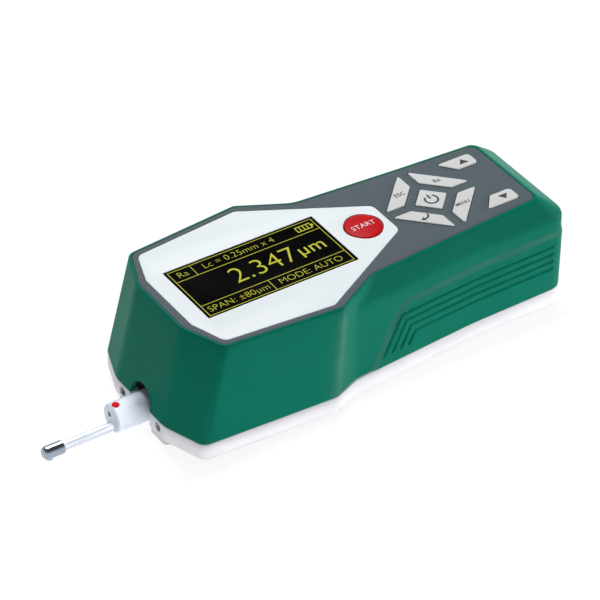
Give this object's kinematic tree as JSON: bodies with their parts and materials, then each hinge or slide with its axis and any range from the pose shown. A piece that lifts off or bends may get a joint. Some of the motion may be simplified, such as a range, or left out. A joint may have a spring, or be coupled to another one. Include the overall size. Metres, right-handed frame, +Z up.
{
  "type": "surface roughness tester",
  "caption": "Handheld surface roughness tester with a display and keys on a sloped-shoulder case and a motor-driven skidded pickup at the front.",
  "frame": {"origin": "on the resting plane, under the middle of the overall length from nose tip to rear wall", "axes": "+X from the pickup to the rear of the case, +Z up out of the key face, +Y to the side of the up key"},
  "size_m": [0.1986, 0.0682, 0.0468],
  "materials": {
    "housing_green": "fine moulded texture, green",
    "base_white": "moulded, white",
    "plate_grey": "satin, slate grey",
    "bezel_white": "smooth, white",
    "window_black": "polished, black",
    "key_grey": "satin, light grey",
    "start_red": "smooth, red",
    "board_green": "solder mask, green",
    "dark_plastic": "moulded, near black",
    "battery_blue": "shrink sleeve, blue",
    "carriage_plastic": "machined, ivory",
    "aluminium": "milled",
    "motor_can": "drawn can",
    "steel": "plated",
    "bronze": "turned",
    "pickup_satin": "satin anodised",
    "nose_chrome": "polished",
    "dot_red": "enamel, red"
  },
  "bodies": {
    "housing": {"top_housing": "housing_green", "base_tray": "base_white", "face_plate": "plate_grey", "display_bezel": "bezel_white", "display_window": "window_black", "oled_panel": "dark_plastic", "key_board": "board_green", "key_switches": "dark_plastic", "board_screws": "steel", "charge_socket": "steel", "main_board": "board_green", "battery_pack": "battery_blue", "drive_frame": "aluminium", "guide_rods": "steel", "screw_bushes": "bronze", "drive_motor": "motor_can", "base_screws": "steel", "drive_screws": "steel"},
    "traverse": {"carriage": "carriage_plastic", "carrier_rod": "aluminium", "carriage_screws": "steel", "pickup_body": "pickup_satin", "index_dot": "dot_red", "pickup_stem": "pickup_satin", "skid_nose": "nose_chrome"},
    "screw": {"lead_screw": "steel", "screw_coupling": "bronze", "motor_shaft": "steel"},
    "stylus": {"stylus_arm": "steel"},
    "start": {"start_button": "start_red"},
    "escape": {"key_escape": "key_grey"},
    "parameter": {"key_parameter": "key_grey"},
    "menu": {"key_menu": "key_grey"},
    "enter": {"key_enter": "key_grey"},
    "power": {"key_power": "key_grey"},
    "up": {"key_up": "key_grey"},
    "down": {"key_down": "key_grey"}
  },
  "joints": [
    {"name": "pickup_traverse", "type": "slide", "parent": "housing", "child": "traverse", "axis": [1, 0, 0], "range_m": [0, 0.0175]},
    {"name": "lead_screw_turn", "type": "hinge", "parent": "housing", "child": "screw", "pos_m": [0, 0, 0.018], "axis": [1, 0, 0], "range_deg": [-2, 3152]},
    {"name": "stylus_pivot", "type": "hinge", "parent": "traverse", "child": "stylus", "pos_m": [-0.07545, 0, 0.0032], "axis": [0, 1, 0], "range_deg": [-0.3, 0.3], "stiffness_Nm_per_rad": 0.02},
    {"name": "start_press", "type": "slide", "parent": "housing", "child": "start", "axis": [0, 0, -1], "range_m": [0, 0.0005], "stiffness_N_per_m": 400, "springref_m": -0.001},
    {"name": "escape_press", "type": "slide", "parent": "housing", "child": "escape", "axis": [0, 0, -1], "range_m": [0, 0.0005], "stiffness_N_per_m": 400, "springref_m": -0.001},
    {"name": "parameter_press", "type": "slide", "parent": "housing", "child": "parameter", "axis": [0, 0, -1], "range_m": [0, 0.0005], "stiffness_N_per_m": 400, "springref_m": -0.001},
    {"name": "menu_press", "type": "slide", "parent": "housing", "child": "menu", "axis": [0, 0, -1], "range_m": [0, 0.0005], "stiffness_N_per_m": 400, "springref_m": -0.001},
    {"name": "enter_press", "type": "slide", "parent": "housing", "child": "enter", "axis": [0, 0, -1], "range_m": [0, 0.0005], "stiffness_N_per_m": 400, "springref_m": -0.001},
    {"name": "power_press", "type": "slide", "parent": "housing", "child": "power", "axis": [0, 0, -1], "range_m": [0, 0.0005], "stiffness_N_per_m": 400, "springref_m": -0.001},
    {"name": "up_press", "type": "slide", "parent": "housing", "child": "up", "axis": [0, 0, -1], "range_m": [0, 0.0005], "stiffness_N_per_m": 400, "springref_m": -0.001},
    {"name": "down_press", "type": "slide", "parent": "housing", "child": "down", "axis": [0, 0, -1], "range_m": [0, 0.0005], "stiffness_N_per_m": 400, "springref_m": -0.001}
  ],
  "couplings": [
    {"joint": "lead_screw_turn", "follows": "pickup_traverse", "rad_per_m": 3141.6}
  ]
}
